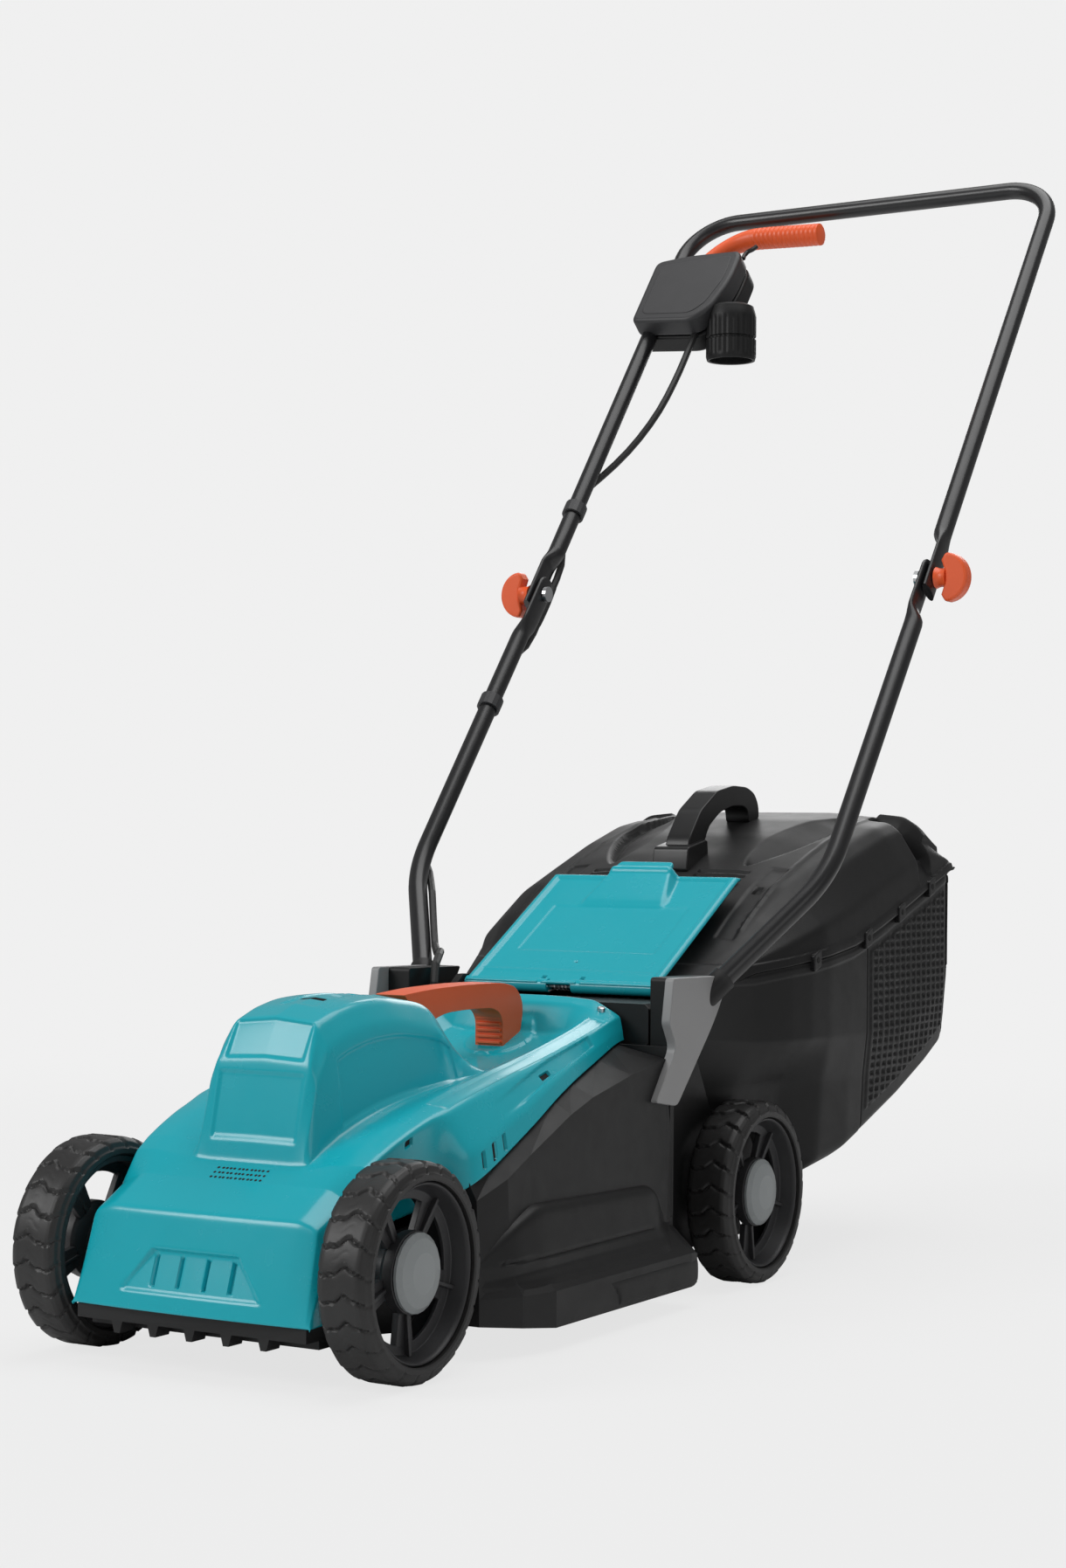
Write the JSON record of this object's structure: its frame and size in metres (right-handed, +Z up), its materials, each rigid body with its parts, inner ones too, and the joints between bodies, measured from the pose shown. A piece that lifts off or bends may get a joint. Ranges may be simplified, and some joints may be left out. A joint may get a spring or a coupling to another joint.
{
  "type": "corded rotary lawn mower",
  "caption": "Small electric rotary mower: moulded hood over a blade deck, folding tube handle with a switch lever, and a lift-off grass box behind a sprung flap.",
  "frame": {"origin": "on the ground, under the middle of the whole machine (bounding box bottom centre)", "axes": "+Z up, the front faces -Y, +X is the left hand of someone pushing it"},
  "size_m": [0.5134, 1.2279, 1.0979],
  "materials": {
    "turquoise_plastic": "moulded, satin gloss",
    "orange_plastic": "moulded, satin gloss",
    "black_plastic": "moulded, fine grain",
    "dark_grey_plastic": "moulded, fine grain",
    "grey_plastic": "moulded, fine grain",
    "cap_grey_plastic": "moulded, satin",
    "tyre_plastic": "hard, ribbed",
    "black_tube": "powder-coated steel tube",
    "steel": "zinc plated",
    "aluminium": "die cast",
    "copper": "laminations and windings",
    "cable_rubber": "matt sheath"
  },
  "bodies": {
    "chassis": {"deck": "black_plastic", "hood": "turquoise_plastic", "front_comb": "black_plastic", "carry_handle": "orange_plastic", "handle_bracket_left": "grey_plastic", "handle_bracket_right": "grey_plastic", "lower_handle_left": "black_tube", "lower_handle_right": "black_tube", "clamp_bolt_left": "steel", "clamp_bolt_right": "steel", "motor_lower_bracket": "aluminium", "motor_stator": "copper", "motor_upper_bracket": "aluminium", "bearing_lower": "steel", "bearing_upper": "steel", "run_capacitor": "grey_plastic", "flap_hinge_pin": "steel", "flap_spring": "steel", "motor_cable_lower": "cable_rubber", "cable_clip_lower": "dark_grey_plastic"},
    "front_axle_body": {"front_axle": "steel"},
    "rear_axle_body": {"rear_axle": "steel"},
    "wheel_front_left": {"tyre_front_left": "tyre_plastic", "rim_front_left": "dark_grey_plastic", "hub_cap_front_left": "cap_grey_plastic"},
    "wheel_front_right": {"tyre_front_right": "tyre_plastic", "rim_front_right": "dark_grey_plastic", "hub_cap_front_right": "cap_grey_plastic"},
    "wheel_rear_left": {"tyre_rear_left": "tyre_plastic", "rim_rear_left": "dark_grey_plastic", "hub_cap_rear_left": "cap_grey_plastic"},
    "wheel_rear_right": {"tyre_rear_right": "tyre_plastic", "rim_rear_right": "dark_grey_plastic", "hub_cap_rear_right": "cap_grey_plastic"},
    "flap": {"rear_flap": "turquoise_plastic"},
    "grass_box": {"grass_box_tub": "black_plastic", "grass_box_lid": "black_plastic", "grass_box_handle": "black_plastic"},
    "handle": {"upper_handle": "black_tube", "switch_box_cover": "dark_grey_plastic", "switch_box_base": "black_plastic", "power_switch": "grey_plastic", "power_inlet": "black_plastic", "cord_hook": "black_plastic", "motor_cable_upper": "cable_rubber", "cable_clip_upper": "dark_grey_plastic"},
    "bail": {"bail_lever": "orange_plastic"},
    "button": {"lock_button": "black_plastic"},
    "knob_left": {"wing_knob_left": "orange_plastic"},
    "knob_right": {"wing_knob_right": "orange_plastic"},
    "cutter": {"rotor": "steel", "blade_carrier": "dark_grey_plastic", "blade": "steel", "blade_bolt": "steel"}
  },
  "joints": [
    {"name": "front_height_slide", "type": "slide", "parent": "chassis", "child": "front_axle_body", "axis": [0, 0, 1], "range_m": [-0.036, 0]},
    {"name": "rear_height_slide", "type": "slide", "parent": "chassis", "child": "rear_axle_body", "axis": [0, 0, 1], "range_m": [-0.036, 0]},
    {"name": "wheel_front_left_spin", "type": "hinge", "parent": "front_axle_body", "child": "wheel_front_left", "pos_m": [0.1385, -0.534, 0.08], "axis": [1, 0, 0], "continuous": true},
    {"name": "wheel_front_right_spin", "type": "hinge", "parent": "front_axle_body", "child": "wheel_front_right", "pos_m": [-0.1385, -0.534, 0.08], "axis": [1, 0, 0], "continuous": true},
    {"name": "wheel_rear_left_spin", "type": "hinge", "parent": "rear_axle_body", "child": "wheel_rear_left", "pos_m": [0.1495, 0.004, 0.08], "axis": [1, 0, 0], "continuous": true},
    {"name": "wheel_rear_right_spin", "type": "hinge", "parent": "rear_axle_body", "child": "wheel_rear_right", "pos_m": [-0.1495, 0.004, 0.08], "axis": [1, 0, 0], "continuous": true},
    {"name": "flap_turn", "type": "hinge", "parent": "chassis", "child": "flap", "pos_m": [0, -0.0665, 0.2585], "axis": [1, 0, 0], "range_deg": [0, 70], "stiffness_Nm_per_rad": 0.25, "springref_deg": -34.38},
    {"name": "grass_box_slide", "type": "slide", "parent": "chassis", "child": "grass_box", "axis": [0, 0.866, 0.5], "range_m": [0, 0.3]},
    {"name": "handle_fold", "type": "hinge", "parent": "chassis", "child": "handle", "pos_m": [0, 0.2546, 0.6402], "axis": [1, 0, 0], "range_deg": [0, 155]},
    {"name": "bail_turn", "type": "hinge", "parent": "handle", "child": "bail", "pos_m": [-0.19, 0.54838, 1.01648], "axis": [0, -0.7882, 0.6154], "range_deg": [0, 5], "stiffness_Nm_per_rad": 4, "springref_deg": -8.59},
    {"name": "lock_button_press", "type": "slide", "parent": "handle", "child": "button", "axis": [0, -0.6154, -0.7882], "range_m": [0, 0.004], "stiffness_N_per_m": 600, "springref_m": -0.003},
    {"name": "knob_left_turn", "type": "hinge", "parent": "chassis", "child": "knob_left", "pos_m": [0.2153, 0.2546, 0.6402], "axis": [1, 0, 0], "continuous": true},
    {"name": "knob_right_turn", "type": "hinge", "parent": "chassis", "child": "knob_right", "pos_m": [-0.2153, 0.2546, 0.6402], "axis": [1, 0, 0], "continuous": true},
    {"name": "rotor_spin", "type": "hinge", "parent": "chassis", "child": "cutter", "pos_m": [0, -0.346, 0.05], "axis": [0, 0, 1], "continuous": true}
  ]
}
